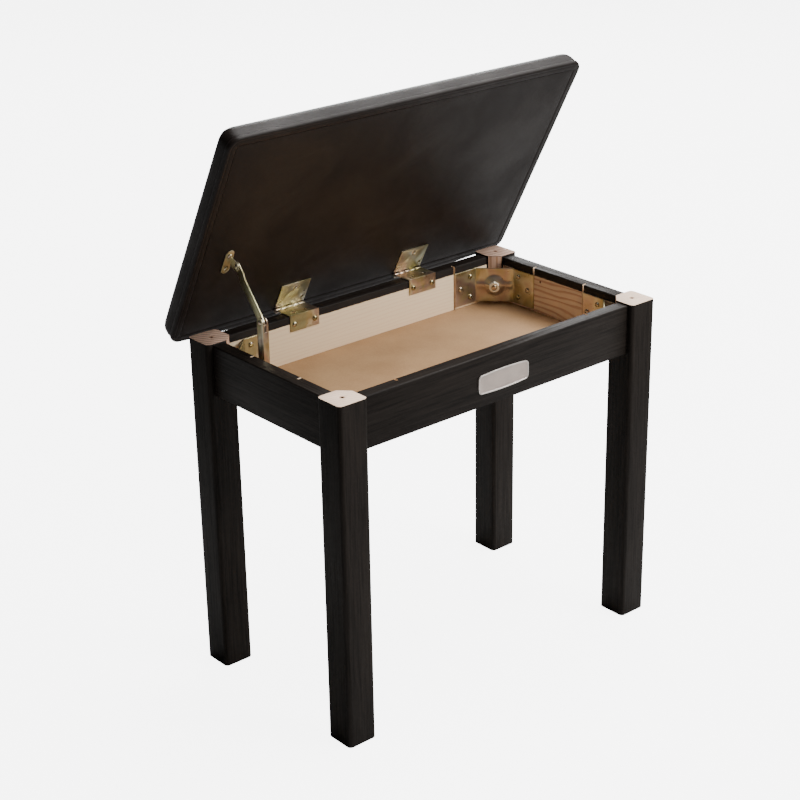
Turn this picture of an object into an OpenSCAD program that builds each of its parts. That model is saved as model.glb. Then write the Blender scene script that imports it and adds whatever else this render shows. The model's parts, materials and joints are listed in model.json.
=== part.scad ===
// Piano bench: an open storage box on four square legs, with a padded lid
// that hinges at the back and is held open by a two-link stay on the left.
// Front is -Y, the floor is z = 0 and the lid is drawn open.

/* [Overall] */
// Width over the legs
frame_w = 507; // [420:1:640]
// Depth over the legs
frame_d = 290; // [240:1:360]
// Height of the legs
frame_h = 440; // [360:1:540]
// Angle at which the stay stops the lid
open_angle = 61.9; // [55:0.1:68]

/* [Legs] */
// Side of the square leg
leg_s = 41; // [36:1:50]
// Radius of the leg's corner edges
leg_edge_r = 5.5; // [3:0.5:8]
// Width of the flat cut on the leg's inner corner, along each face
leg_flat = 13; // [11:0.5:15]
// Radius of the turning-centre hole in the leg's top
centre_hole_r = 1.5; // [1:0.25:2.5]
// Depth of the turning-centre hole
centre_hole_depth = 12; // [6:1:20]

/* [Rails] */
// Thickness of the rails
rail_t = 18; // [15:0.5:22]
// Height of the rails
rail_h = 64; // [56:1:80]
// Step from the leg's outer face in to the rail's outer face
rail_inset = 8; // [4:0.5:12]
// Step from the leg's top down to the rail's top
rail_drop = 2; // [1:0.5:4]
// Width of the saw kerf that takes a bracket's lip
kerf_w = 2.4; // [2:0.1:4]
// Depth of that kerf
kerf_depth = 6; // [5.5:0.5:8]

/* [Box floor] */
// Thickness of the floor panel
floor_t = 4; // [3:0.5:6]
// Depth of the rabbet in the rails that takes the panel
rabbet = 6; // [4:0.5:9]
// Gap left around the panel
floor_gap = 0.3; // [0.1:0.1:1]

/* [Corner brackets] */
// Height of a corner bracket
bracket_h = 47; // [36:1:52]
// Sheet thickness of a corner bracket
bracket_t = 1.5; // [1:0.1:2]
// Distance from the rail's top down to the bracket
bracket_drop = 10; // [5:1:14]
// Distance from the leg to the bracket's bend
bracket_bend = 21.3; // [20:0.1:26]
// Length of the bracket's flange along a rail
bracket_flange = 37.6; // [30:0.1:44]
// Radius of the raised dome round the bolt
dome_r = 14; // [11:0.5:16]
// Height of that dome
dome_rise = 4; // [2:0.5:5]
// Radius of the bolt that draws the leg in
bolt_r = 4; // [3:0.5:5]
// Width of the nut across its flats
nut_af = 13; // [10:1:16]
// Height of the nut
nut_h = 6.5; // [4:0.5:9]

/* [Front plate] */
// Width of the plate on the front rail
badge_w = 81; // [50:1:110]
// Height of the plate at its middle
badge_h = 26.6; // [16:0.1:34]
// Bow of the plate's long edges
badge_bow = 1.8; // [0.5:0.1:4]
// Thickness of the plate
badge_t = 1; // [0.6:0.1:2]
// Width of its raised rim
badge_rim = 1.8; // [1:0.1:3]

/* [Lid] */
// Overhang of the lid past the legs at each side
lid_side = 19; // [10:1:40]
// Overhang of the closed lid past the front of the legs
lid_front = 16; // [8:1:30]
// Overhang of the closed lid past the back of the legs
lid_back = 14; // [12:0.5:20]
// Gap between the closed lid and the legs' tops
lid_gap = 0.6; // [0.5:0.1:2]
// Thickness of the seat board
board_t = 12; // [9:0.5:18]
// Thickness of the cover material
cover_t = 1.2; // [0.8:0.1:2]
// Height of the lid, from its underside to the top of the pad
side_h = 31; // [26:0.5:45]
// Radius of the padded edge
pad_edge_r = 15; // [8:0.5:16]
// Radius of the lid's corners, seen from above
lid_corner_r = 16; // [16:0.5:30]
// Width of the cover's turned-under border
border_w = 12; // [8:0.5:16]

/* [Hinges] */
// Distance of each hinge from the middle
hinge_x = 97; // [60:1:150]
// Width of a hinge
hinge_w = 45; // [30:1:60]
// Sheet thickness of the hinge leaves
leaf_t = 1.2; // [1:0.1:1.5]
// Radius of the hinge's knuckles
knuckle_r = 3; // [2.6:0.1:4]
// Radius of the hinge pin
pin_r = 1.5; // [1.2:0.1:1.8]
// Running clearance round the pin
pin_gap = 0.05; // [0.02:0.01:0.1]
// Gap between neighbouring knuckles
knuckle_gap = 0.4; // [0.2:0.1:0.8]
// Depth of the upper leaf on the lid, from the lid's back edge
leaf_reach = 51; // [45:1:60]
// Drop of the lower leaf down the inside of the rail
leaf_drop = 20; // [16:1:26]

/* [Lid stay] */
// Distance of the stay's top pivot from the lid's back edge
stay_top_d = 124.6; // [110:0.1:135]
// Distance of that pivot off the lid's underside
stay_top_off = 11; // [9:0.5:14]
// Distance of the stay's middle plane in from the rail's inner face
stay_in = 10.5; // [10:0.5:14]
// Distance of the elbow in front of the hinge axis
elbow_dy = 107.2; // [100:0.1:115]
// Height of the elbow over the hinge axis
elbow_dz = 40.6; // [35:0.1:46]
// Length of the lower arm between its pivots
lower_len = 77; // [74:0.5:80]
// Width of the upper arm
arm_w = 11; // [9:0.5:12]
// Thickness of the upper arm
arm_t = 2; // [1.5:0.1:2.5]
// Outer width of the lower arm's channel
channel_w = 7.4; // [7:0.1:9]
// Depth of the lower arm's channel
channel_d = 11.4; // [10:0.1:13]
// Sheet thickness of the channel and the brackets
channel_t = 1.2; // [1:0.1:1.4]
// Radius of the stay's rivets
rivet_r = 2.5; // [2:0.1:2.8]
// Clearance between the stay's moving faces
stay_gap = 0.2; // [0.15:0.05:0.4]
// Travel of the lower pivot in the base plate's slot
slot_travel = 10.4; // [8:0.1:12]
// Direction of that travel, up from the horizontal
slot_angle = 62.4; // [55:0.1:80]
// Clearance each side of the pin in that slot
slot_side = 0.9; // [0.7:0.05:1.2]

/* [Hidden] */
$fn = 48;
eps = 0.01;
cut = 1;

half_w = frame_w / 2;
half_d = frame_d / 2;
leg_x = half_w - leg_s / 2;
leg_y = half_d - leg_s / 2;
leg_in_x = half_w - leg_s;
leg_in_y = half_d - leg_s;

rail_top = frame_h - rail_drop;
rail_bottom = rail_top - rail_h;
rail_edge_r = 1.5;
rail_in_x = half_w - rail_inset - rail_t;
rail_in_y = half_d - rail_inset - rail_t;
rail_gap = 0.05;

bracket_top = rail_top - bracket_drop;
bracket_z = bracket_top - bracket_h / 2;
bend_x = leg_in_x - bracket_bend;
bend_y = leg_in_y - bracket_bend;
kerf_x = bend_x - bracket_flange;
kerf_y = bend_y - bracket_flange;
lip_gap = 1;
lip_len = kerf_depth - lip_gap;
diag_dx = rail_in_x - bend_x;
diag_dy = rail_in_y - bend_y;
diag_mid = [(rail_in_x + bend_x) / 2, (rail_in_y + bend_y) / 2];
bolt_in_leg = 32;
bolt_gap = 0.4;
bolt_in_box = 13;
leg_to_plate = 14.5;

screw_r = 1.75;
screw_head_r = 3.5;
screw_head_h = 2.2;
screw_len = 14;
screw_near = 10.5;
screw_far = 28;
screw_dz = 14.2;
screw_tip = 1;

plate_drop = 35.84;
plate_z = rail_top - plate_drop;
plate_rise = 0.5;
plate_corner_r = 3;

lid_w = frame_w + 2 * lid_side;
lid_d = frame_d + lid_front + lid_back;
lid_z = frame_h + lid_gap;
lid_y1 = half_d + lid_back;
lid_y0 = lid_y1 - lid_d;
lid_mid_y = (lid_y0 + lid_y1) / 2;
board_z = lid_z + cover_t;
foam_z = board_z + board_t;
board_gap = 0.4;
foam_gap = 0.05;
border_corner_r = 6;
border_gap = 0.1;

axis_z = lid_z - stay_gap - knuckle_r;
axis_in = 10.3;
axis_y = lid_y1 - axis_in;
leaf_z = rail_top;
upper_leaf_z = lid_z - leaf_t;
knuckles = 5;
knuckle_len = hinge_w / knuckles;

stay_x = -(rail_in_x - stay_in);
elbow = [axis_y - elbow_dy, axis_z + elbow_dz];
foot = [elbow[0], elbow[1] - lower_len];
top_closed = [lid_y1 - stay_top_d, lid_z - stay_top_off];
top_pivot = swing(top_closed, -open_angle);
upper_len = norm(top_pivot - elbow);
upper_angle = atan2(top_pivot[1] - elbow[1], top_pivot[0] - elbow[0]);
ear_t = 1.5;
joggle = ear_t + stay_gap;
arm_end_r = arm_w / 2;
arm_neck_r = channel_d / 2 - channel_t - stay_gap;
arm_neck_len = 6;
slot_r = rivet_r + slot_side;
slot_end = [foot[0] - slot_travel * cos(slot_angle), foot[1] - slot_travel * sin(slot_angle)];
base_t = 2;
base_lift = 2;

// The open lid's rounded back edge is the part's rearmost point.
pad_centre = swing([lid_y1 - pad_edge_r, lid_z + side_h - pad_edge_r], -open_angle);
back_reach = pad_centre[0] + pad_edge_r;
mid_y = (back_reach - half_d) / 2;

black = "#26221f";
hardboard = "#b39373";
zinc = "#a68a4d";
leatherette = "#2b2422";

// A point of the side view turned about the hinge axis
function swing(p, a) = [
  axis_y + (p[0] - axis_y) * cos(a) - (p[1] - axis_z) * sin(a),
  axis_z + (p[0] - axis_y) * sin(a) + (p[1] - axis_z) * cos(a)
];

// Everything is drawn about the middle of the legs, then set on the origin
module place() translate([0, -mid_y, 0]) children();

// Lid pieces are drawn closed and turned open
module on_lid() place()
  translate([0, axis_y, axis_z]) rotate([-open_angle, 0, 0])
    translate([0, -axis_y, -axis_z]) children();

// Mirrors a piece drawn at the back right corner to another corner
module to_corner(sx, sy)
  mirror([sx < 0 ? 1 : 0, 0, 0]) mirror([0, sy < 0 ? 1 : 0, 0]) children();

module rounded(w, h, r) {
  square([w - 2 * r, h], center = true);
  square([w, h - 2 * r], center = true);
  for (x = [-1, 1], y = [-1, 1])
    translate([x * (w / 2 - r), y * (h / 2 - r)]) circle(r);
}

// Sets a drawing in the (y, z) plane across x, centred on the given x
module across(x, t)
  translate([x - t / 2, 0, 0]) rotate([90, 0, 90]) linear_extrude(t) children();

module leg(sx, sy) color(black) place() to_corner(sx, sy) difference() {
  translate([leg_x, leg_y, 0]) linear_extrude(frame_h) rounded(leg_s, leg_s, leg_edge_r);
  translate([leg_in_x, leg_in_y, rail_bottom]) rotate([0, 0, 45])
    translate([-leg_s, -leg_s, 0])
      cube([leg_s + leg_flat / sqrt(2), 2 * leg_s, rail_h + rail_drop + cut]);
  translate([leg_x, leg_y, frame_h - centre_hole_depth])
    cylinder(r = centre_hole_r, h = centre_hole_depth + cut);
}
module leg_front_left() leg(-1, -1);
module leg_front_right() leg(1, -1);
module leg_back_left() leg(-1, 1);
module leg_back_right() leg(1, 1);

// A rail along X, its inner face on y = 0 and its outer face at y = rail_t
module rail(len, kerf) difference() {
  rotate([90, 0, 90]) translate([0, 0, -len / 2]) linear_extrude(len) difference() {
    union() {
      translate([0, rail_bottom]) square([rail_t, rail_h - rail_edge_r]);
      translate([rail_edge_r, rail_bottom]) square([rail_t - 2 * rail_edge_r, rail_h]);
      for (y = [rail_edge_r, rail_t - rail_edge_r])
        translate([y, rail_top - rail_edge_r]) circle(rail_edge_r);
    }
    translate([-cut, rail_bottom - cut]) square([rabbet + cut, floor_t + cut]);
  }
  for (side = [-1, 1])
    translate([side * kerf - kerf_w / 2, -cut, rail_bottom - cut])
      cube([kerf_w, kerf_depth + cut, rail_h + 2 * cut]);
}
module long_rail(sy) color(black) place() mirror([0, sy < 0 ? 1 : 0, 0])
  translate([0, rail_in_y, 0]) rail(2 * (leg_in_x - rail_gap), kerf_x);
module short_rail(sx) color(black) place() mirror([sx < 0 ? 1 : 0, 0, 0])
  translate([rail_in_x, 0, 0]) rotate([0, 0, -90]) rail(2 * (leg_in_y - rail_gap), kerf_y);
module front_rail() long_rail(-1);
module back_rail() long_rail(1);
module left_rail() short_rail(-1);
module right_rail() short_rail(1);

module floor_panel() color(hardboard) place()
  translate([0, 0, rail_bottom]) linear_extrude(floor_t) difference() {
    square([2 * (rail_in_x + rabbet - floor_gap), 2 * (rail_in_y + rabbet - floor_gap)],
           center = true);
    for (x = [-1, 1], y = [-1, 1])
      translate([x * leg_x, y * leg_y]) square(leg_s + 2 * floor_gap, center = true);
  }

nail_r = 0.8;
nail_head_r = 2;
nail_head_t = 0.6;
nail_len = 14;
nail_in = rabbet / 2;
module nail() {
  cylinder(r = nail_r, h = nail_len);
  translate([0, 0, -nail_head_t]) cylinder(r = nail_head_r, h = nail_head_t + eps);
}
nail_step_x = 85;
nail_step_y = 62.4;
nail_margin = 10;
module floor_nails() color("silver") place() {
  row_x = floor((leg_in_x - nail_margin) / nail_step_x);
  row_y = floor((leg_in_y - nail_margin) / nail_step_y);
  for (i = [-row_x:row_x], sy = [-1, 1])
    translate([i * nail_step_x, sy * (rail_in_y + nail_in), rail_bottom]) nail();
  for (i = [-row_y:row_y], sx = [-1, 1])
    translate([sx * (rail_in_x + nail_in), i * nail_step_y, rail_bottom]) nail();
}

// Plate, flanges and lips in plan; the outline runs clockwise round the corner
module bracket_plan() {
  translate([rail_in_x - bracket_t, kerf_y - bracket_t / 2])
    square([bracket_t, bracket_flange + bracket_t / 2]);
  translate([rail_in_x - bracket_t, kerf_y - bracket_t / 2])
    square([lip_len + bracket_t, bracket_t]);
  translate([kerf_x - bracket_t / 2, rail_in_y - bracket_t])
    square([bracket_flange + bracket_t / 2, bracket_t]);
  translate([kerf_x - bracket_t / 2, rail_in_y - bracket_t])
    square([bracket_t, lip_len + bracket_t]);
  polygon([
    [bend_x, rail_in_y], [rail_in_x, bend_y], [rail_in_x - bracket_t, bend_y],
    [bend_x, rail_in_y - bracket_t]
  ]);
}

// Turns Z to point out of the box along the corner's diagonal
module on_diagonal()
  translate([diag_mid[0], diag_mid[1], bracket_z])
    rotate([0, 0, atan2(diag_dx, diag_dy)]) rotate([0, 90, 0]) children();

dome_ball = (dome_r * dome_r + dome_rise * dome_rise) / (2 * dome_rise);
module dome() intersection() {
  translate([0, 0, dome_ball - dome_rise]) sphere(dome_ball);
  translate([0, 0, -dome_rise - cut]) cylinder(r = dome_r, h = dome_rise + cut + bracket_t);
}

module corner_bracket(sx, sy) color(zinc) place() to_corner(sx, sy) difference() {
  union() {
    translate([0, 0, bracket_z - bracket_h / 2]) linear_extrude(bracket_h) bracket_plan();
    on_diagonal() translate([0, 0, -bracket_t]) dome();
  }
  on_diagonal() dome();
  on_diagonal() translate([0, 0, -bolt_in_box])
    cylinder(r = bolt_r + bolt_gap, h = 2 * bolt_in_box);
  bracket_screw_places() screw_hole();
}
module corner_bracket_front_left() corner_bracket(-1, -1);
module corner_bracket_front_right() corner_bracket(1, -1);
module corner_bracket_back_left() corner_bracket(-1, 1);
module corner_bracket_back_right() corner_bracket(1, 1);

module each_corner() for (sx = [-1, 1], sy = [-1, 1]) to_corner(sx, sy) children();

module leg_bolts() color(zinc) place() each_corner() on_diagonal()
  translate([0, 0, -bolt_in_box]) cylinder(r = bolt_r, h = bolt_in_box + leg_to_plate + bolt_in_leg);

module leg_nuts() color(zinc) place() each_corner() on_diagonal()
  translate([0, 0, -dome_rise - bracket_t - nut_h]) difference() {
    cylinder(d = nut_af / cos(30), h = nut_h, $fn = 6);
    translate([0, 0, -cut]) cylinder(r = bolt_r, h = nut_h + 2 * cut);
  }

// A pan-head screw: +Z points out of the wood and z = 0 is under the head
module pan_screw(len) {
  translate([0, 0, -len]) cylinder(r = screw_r, h = len + eps);
  intersection() {
    cylinder(r = screw_head_r, h = screw_head_h);
    translate([0, 0, screw_head_h - 2 * screw_head_r]) sphere(2 * screw_head_r);
  }
}

// Three screws down each flange, the middle one set further from the bend
module bracket_screw_places() for (row = [-1, 0, 1]) {
  along = row == 0 ? screw_far : screw_near;
  translate([rail_in_x - bracket_t, bend_y - along, bracket_z + row * screw_dz])
    rotate([0, -90, 0]) children();
  translate([bend_x - along, rail_in_y - bracket_t, bracket_z + row * screw_dz])
    rotate([90, 0, 0]) children();
}
module bracket_screws() color(zinc) place() each_corner()
  bracket_screw_places() pan_screw(screw_len);

module badge_outline(shrink) {
  w = badge_w - 2 * shrink;
  h = badge_h - 2 * shrink;
  bow_r = (badge_w * badge_w / 4 + badge_bow * badge_bow) / (2 * badge_bow);
  intersection() {
    rounded(w, h, plate_corner_r);
    translate([0, h / 2 - bow_r]) circle(bow_r, $fn = 720);
    translate([0, bow_r - h / 2]) circle(bow_r, $fn = 720);
  }
}
module front_plate() color("#b8aca2") place()
  translate([0, -(half_d - rail_inset), plate_z]) rotate([90, 0, 0]) {
    linear_extrude(badge_t) badge_outline(0);
    linear_extrude(badge_t + plate_rise) difference() {
      badge_outline(0);
      badge_outline(badge_rim);
    }
  }

module each_knuckle(odd) for (i = [odd ? 1 : 0:2:knuckles - 1])
  translate([-hinge_w / 2 + i * knuckle_len + knuckle_gap / 2, 0, 0]) children();

module knuckle(bore_r) translate([0, axis_y, axis_z]) rotate([0, 90, 0]) difference() {
  cylinder(r = knuckle_r, h = knuckle_len - knuckle_gap);
  translate([0, 0, -cut]) cylinder(r = bore_r, h = knuckle_len + 2 * cut);
}

// Clears the space that the other leaf's knuckles turn in
module knuckle_room(odd) each_knuckle(odd)
  translate([-knuckle_gap, axis_y - knuckle_r - knuckle_gap, axis_z - 3 * knuckle_r])
    cube([knuckle_len + knuckle_gap, 3 * knuckle_r, 6 * knuckle_r]);

// A screw hole through thin sheet, centred on z = 0
hole_half = 5;
module screw_hole() translate([0, 0, -hole_half]) cylinder(r = screw_r, h = 2 * hole_half);

rail_hole_dx = 16;
rail_top_hole_dx = 10;
rail_top_hole_in = 8;
rail_hole_drop = 11;
rail_top_hole_y = rail_in_y + rail_top_hole_in;
rail_hole_z = rail_top - rail_hole_drop;
module lower_hinge_leaf(side) color(zinc) place() translate([side * hinge_x, 0, 0]) {
  difference() {
    union() {
      translate([-hinge_w / 2, rail_in_y - leaf_t, rail_top - leaf_drop])
        cube([hinge_w, leaf_t, leaf_drop + leaf_t]);
      translate([-hinge_w / 2, rail_in_y - leaf_t, leaf_z])
        cube([hinge_w, axis_y - pin_r - rail_in_y, leaf_t]);
    }
    knuckle_room(true);
    for (x = [-1, 1]) {
      translate([x * rail_top_hole_dx, rail_top_hole_y, leaf_z]) screw_hole();
      translate([x * rail_hole_dx, rail_in_y, rail_hole_z]) rotate([90, 0, 0]) screw_hole();
    }
    translate([-hinge_w, axis_y, axis_z]) rotate([0, 90, 0]) cylinder(r = pin_r, h = 2 * hinge_w);
  }
  each_knuckle(false) knuckle(pin_r);
}
module lower_hinge_leaf_left() lower_hinge_leaf(-1);
module lower_hinge_leaf_right() lower_hinge_leaf(1);

module hinge_pin(side) color(zinc) place() translate([side * hinge_x - hinge_w / 2, axis_y, axis_z])
  rotate([0, 90, 0]) cylinder(r = pin_r, h = hinge_w);
module hinge_pin_left() hinge_pin(-1);
module hinge_pin_right() hinge_pin(1);

// A flat screw, its head flush in the leaf
module flush_screw(len) translate([0, 0, -len]) cylinder(r = screw_r, h = len);
module hinge_rail_screws() color(zinc) place()
  for (side = [-1, 1], x = [-1, 1]) translate([side * hinge_x, 0, 0]) {
    translate([x * rail_hole_dx, rail_in_y - leaf_t, rail_hole_z])
      rotate([90, 0, 0]) pan_screw(screw_len);
    translate([x * rail_top_hole_dx, rail_top_hole_y, leaf_z + leaf_t]) flush_screw(screw_len);
  }

leaf_hole_front = 43;
leaf_hole_back = 22;
leaf_hole_dx = 18;
lid_holes = [[0, leaf_hole_front], [-leaf_hole_dx, leaf_hole_back], [leaf_hole_dx, leaf_hole_back]];
module upper_hinge_leaf(side) color(zinc) on_lid() translate([side * hinge_x, 0, 0]) {
  difference() {
    translate([-hinge_w / 2, lid_y1 - leaf_reach, upper_leaf_z])
      cube([hinge_w, leaf_reach + axis_y - lid_y1, leaf_t]);
    knuckle_room(false);
    for (h = lid_holes) translate([h[0], lid_y1 - h[1], lid_z]) screw_hole();
    translate([-hinge_w, axis_y, axis_z])
      rotate([0, 90, 0]) cylinder(r = pin_r + pin_gap, h = 2 * hinge_w);
  }
  each_knuckle(true) knuckle(pin_r + pin_gap);
}
module upper_hinge_leaf_left() upper_hinge_leaf(-1);
module upper_hinge_leaf_right() upper_hinge_leaf(1);

module hinge_lid_screws() color(zinc) on_lid()
  for (side = [-1, 1], h = lid_holes)
    translate([side * hinge_x + h[0], lid_y1 - h[1], upper_leaf_z])
      rotate([180, 0, 0]) flush_screw(leaf_t + board_t - screw_tip);

base_reach = 36;
base_step = 14;
base_lap = 2;
base_below = 5.5;
base_above = 8.5;
base_screw_in = 6;
base_y0 = kerf_y - base_reach;
base_bend = kerf_y - base_step;
base_y1 = kerf_y + base_lap;
base_z0 = foot[1] - slot_travel - base_below;
base_h = slot_travel + base_below + base_above;
base_screw_y = (base_y0 + base_bend - base_t) / 2;
module slot_shape() translate((foot + slot_end) / 2) rotate(slot_angle)
  rounded(slot_travel + 2 * slot_r, 2 * slot_r, slot_r - eps);
module stay_base_plate() color(zinc) place() difference() {
  translate([0, 0, base_z0]) linear_extrude(base_h) polygon([
    [-rail_in_x, base_y0], [-rail_in_x + base_t, base_y0],
    [-rail_in_x + base_t, base_bend - base_t], [-rail_in_x + base_t + base_lift, base_bend],
    [-rail_in_x + base_t + base_lift, base_y1], [-rail_in_x + base_lift, base_y1],
    [-rail_in_x + base_lift, base_bend], [-rail_in_x, base_bend - base_t]
  ]);
  across(-rail_in_x + base_lift + base_t / 2, 3 * base_t) slot_shape();
  for (dz = [base_screw_in, base_h - base_screw_in])
    translate([-rail_in_x, base_screw_y, base_z0 + dz]) rotate([0, -90, 0]) screw_hole();
}
module stay_base_screws() color(zinc) place()
  for (dz = [base_screw_in, base_h - base_screw_in])
    translate([-rail_in_x + base_t, base_screw_y, base_z0 + dz])
      rotate([0, 90, 0]) pan_screw(screw_len);

web_clear = 14;
web_drop = 2;
web_top = elbow[1] - web_drop;
window_w = 3.2;
window_drop = 3.5;
window_top = elbow[1] - window_drop;
window_h = 8;
module arm_side() {
  translate([foot[0] - channel_d / 2, foot[1]]) square([channel_d, lower_len]);
  translate(foot) circle(channel_d / 2);
  translate(elbow) circle(channel_d / 2);
}
module stay_lower_arm() color(zinc) place() difference() {
  union() {
    for (side = [-1, 1])
      across(stay_x + side * (channel_w - channel_t) / 2, channel_t) arm_side();
    translate([stay_x - channel_w / 2, foot[0] - channel_d / 2, foot[1] + web_clear])
      cube([channel_w, channel_t, web_top - foot[1] - web_clear]);
  }
  translate([stay_x - window_w / 2, foot[0] - channel_d, window_top - window_h])
    cube([window_w, channel_d, window_h]);
  for (p = [foot, elbow]) across(stay_x, 2 * channel_w) translate(p) circle(rivet_r);
}
pin_end_gap = 0.1;
pin_x0 = -rail_in_x + base_lift + pin_end_gap;
module stay_foot_pin() color(zinc) place() {
  translate([pin_x0, foot[0], foot[1]]) rotate([0, 90, 0])
    cylinder(r = rivet_r, h = stay_x + channel_w / 2 - pin_x0);
  translate([stay_x + channel_w / 2, foot[0], foot[1]]) rotate([0, 90, 0]) rivet_head();
}
rivet_head_h = 1.5;
module rivet_head() intersection() {
  cylinder(r = rivet_r + rivet_head_h, h = rivet_head_h);
  translate([0, 0, rivet_head_h - 2 * rivet_r]) sphere(2 * rivet_r);
}
module stay_elbow_rivet() color(zinc) place() translate([stay_x, elbow[0], elbow[1]])
  rotate([0, 90, 0]) {
    translate([0, 0, -channel_w / 2]) cylinder(r = rivet_r, h = channel_w);
    translate([0, 0, channel_w / 2]) rivet_head();
    translate([0, 0, -channel_w / 2]) rotate([180, 0, 0]) rivet_head();
  }

joggle_end = 12;
joggle_len = 7;
joggle_to = upper_len - joggle_end;
joggle_from = joggle_to - joggle_len;
arm_reach = 30;
// The arm's flat outline, narrowed at the elbow to turn inside the channel
module arm_outline() {
  translate([arm_neck_len, -arm_end_r]) square([upper_len - arm_neck_len, arm_w]);
  polygon([
    [0, -arm_neck_r], [arm_neck_len, -arm_end_r], [arm_neck_len, arm_end_r], [0, arm_neck_r]
  ]);
  circle(arm_neck_r);
  translate([upper_len, 0]) circle(arm_end_r);
}
module stay_upper_arm() color(zinc) place() translate([stay_x, elbow[0], elbow[1]])
  rotate([upper_angle, 0, 0]) difference() {
    intersection() {
      across(0, arm_reach) arm_outline();
      translate([0, 0, -arm_w]) linear_extrude(2 * arm_w) arm_edge();
    }
    across(0, arm_reach) circle(rivet_r + pin_gap);
    across(0, arm_reach) translate([upper_len, 0]) circle(rivet_r + pin_gap);
  }
// The arm seen on its edge: it steps over beside the lid bracket's ear
module arm_edge() polygon([
  [-arm_t / 2, -arm_w], [arm_t / 2, -arm_w],
  [arm_t / 2, joggle_from], [arm_t / 2 + joggle, joggle_to],
  [arm_t / 2 + joggle, upper_len + arm_w], [-arm_t / 2 + joggle, upper_len + arm_w],
  [-arm_t / 2 + joggle, joggle_to], [-arm_t / 2, joggle_from]
]);

ear_x = stay_x + joggle - arm_t / 2 - stay_gap - ear_t;
lid_plate_w = 12;
lid_plate_len = 36;
lid_plate_hole = 10;
module stay_lid_bracket() color(zinc) on_lid() {
  difference() {
    translate([ear_x + ear_t - lid_plate_w / 2, top_closed[0], lid_z - ear_t])
      linear_extrude(ear_t) rounded(lid_plate_w, lid_plate_len, lid_plate_w / 2 - eps);
    for (s = [-1, 1])
      translate([ear_x + ear_t - lid_plate_w / 2, top_closed[0] + s * lid_plate_hole, lid_z])
        screw_hole();
  }
  across(ear_x + ear_t / 2, ear_t) difference() {
    union() {
      translate([top_closed[0] - arm_end_r, top_closed[1]]) square([arm_w, stay_top_off]);
      translate(top_closed) circle(arm_end_r);
    }
    translate(top_closed) circle(rivet_r);
  }
}
module stay_lid_screws() color(zinc) on_lid()
  for (s = [-1, 1])
    translate([ear_x + ear_t - lid_plate_w / 2, top_closed[0] + s * lid_plate_hole, lid_z - ear_t])
      rotate([180, 0, 0]) pan_screw(ear_t + board_t - screw_tip);
module stay_top_rivet() color(zinc) on_lid() translate([ear_x, top_closed[0], top_closed[1]])
  rotate([0, 90, 0]) {
    stack = ear_t + 2 * stay_gap + arm_t;
    cylinder(r = rivet_r, h = stack);
    translate([0, 0, stack]) rivet_head();
    rotate([180, 0, 0]) rivet_head();
  }

module lid_slab(z, h, inset, r)
  translate([0, lid_mid_y, z]) linear_extrude(h)
    rounded(lid_w - 2 * inset, lid_d - 2 * inset, r);

// Half of the padded form's section: a straight side and a rounded edge
module pad_section(reach, height, r) intersection() {
  square([reach, height]);
  union() {
    square([reach - r, height]);
    square([reach, height - r]);
    translate([reach - r, height - r]) circle(r);
  }
}
module pad_bar(len, reach, height, r)
  rotate([90, 0, 90]) translate([0, 0, -len / 2]) linear_extrude(len)
    for (side = [0, 1]) mirror([side, 0]) pad_section(reach, height, r);

// Padded form, its skin this far in from the lid's outside, standing on z0
module pad_form(skin, z0) translate([0, lid_mid_y, z0]) {
  w = lid_w / 2 - skin;
  d = lid_d / 2 - skin;
  h = lid_z + side_h - skin - z0;
  corner = lid_corner_r - skin;
  edge = pad_edge_r - skin;
  pad_bar(2 * (w - corner), d, h, edge);
  rotate([0, 0, 90]) pad_bar(2 * (d - corner), w, h, edge);
  for (x = [-1, 1], y = [-1, 1])
    translate([x * (w - corner), y * (d - corner), 0])
      rotate_extrude() pad_section(corner, h, edge);
}

module seat_board() color("#a98a63") on_lid()
  lid_slab(board_z, board_t, cover_t + board_gap, lid_corner_r - cover_t);
module foam_pad() color("#e3d9a8") on_lid() pad_form(cover_t + foam_gap, foam_z + foam_gap);
module seat_cover() color(leatherette) on_lid() difference() {
  pad_form(0, lid_z);
  pad_form(cover_t, lid_z + cover_t);
  lid_slab(lid_z - cut, cover_t + 2 * cut, border_w, border_corner_r);
}
module underside_cover() color("#2b2321") on_lid()
  lid_slab(lid_z, cover_t, border_w + border_gap, border_corner_r);

staple_w = 10;
staple_t = 0.8;
staple_crown = 0.6;
staple_leg = 6;
staple_pitch = 60;
staple_margin = 40;
staple_sink = 0.3;
staple_z = lid_z + staple_sink;
module staple() {
  translate([-staple_w / 2, -staple_t / 2, 0]) cube([staple_w, staple_t, staple_crown]);
  for (x = [-staple_w / 2, staple_w / 2 - staple_t])
    translate([x, -staple_t / 2, 0]) cube([staple_t, staple_t, staple_leg]);
}
module cover_staples() color("silver") on_lid() {
  row_x = floor((lid_w / 2 - staple_margin) / staple_pitch);
  row_y = floor((lid_d / 2 - staple_margin) / staple_pitch);
  for (i = [-row_x:row_x], sy = [-1, 1])
    translate([i * staple_pitch, lid_mid_y + sy * (lid_d - border_w) / 2, staple_z]) staple();
  for (i = [-row_y:row_y], sx = [-1, 1])
    translate([sx * (lid_w - border_w) / 2, lid_mid_y + i * staple_pitch, staple_z])
      rotate([0, 0, 90]) staple();
}

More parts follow.
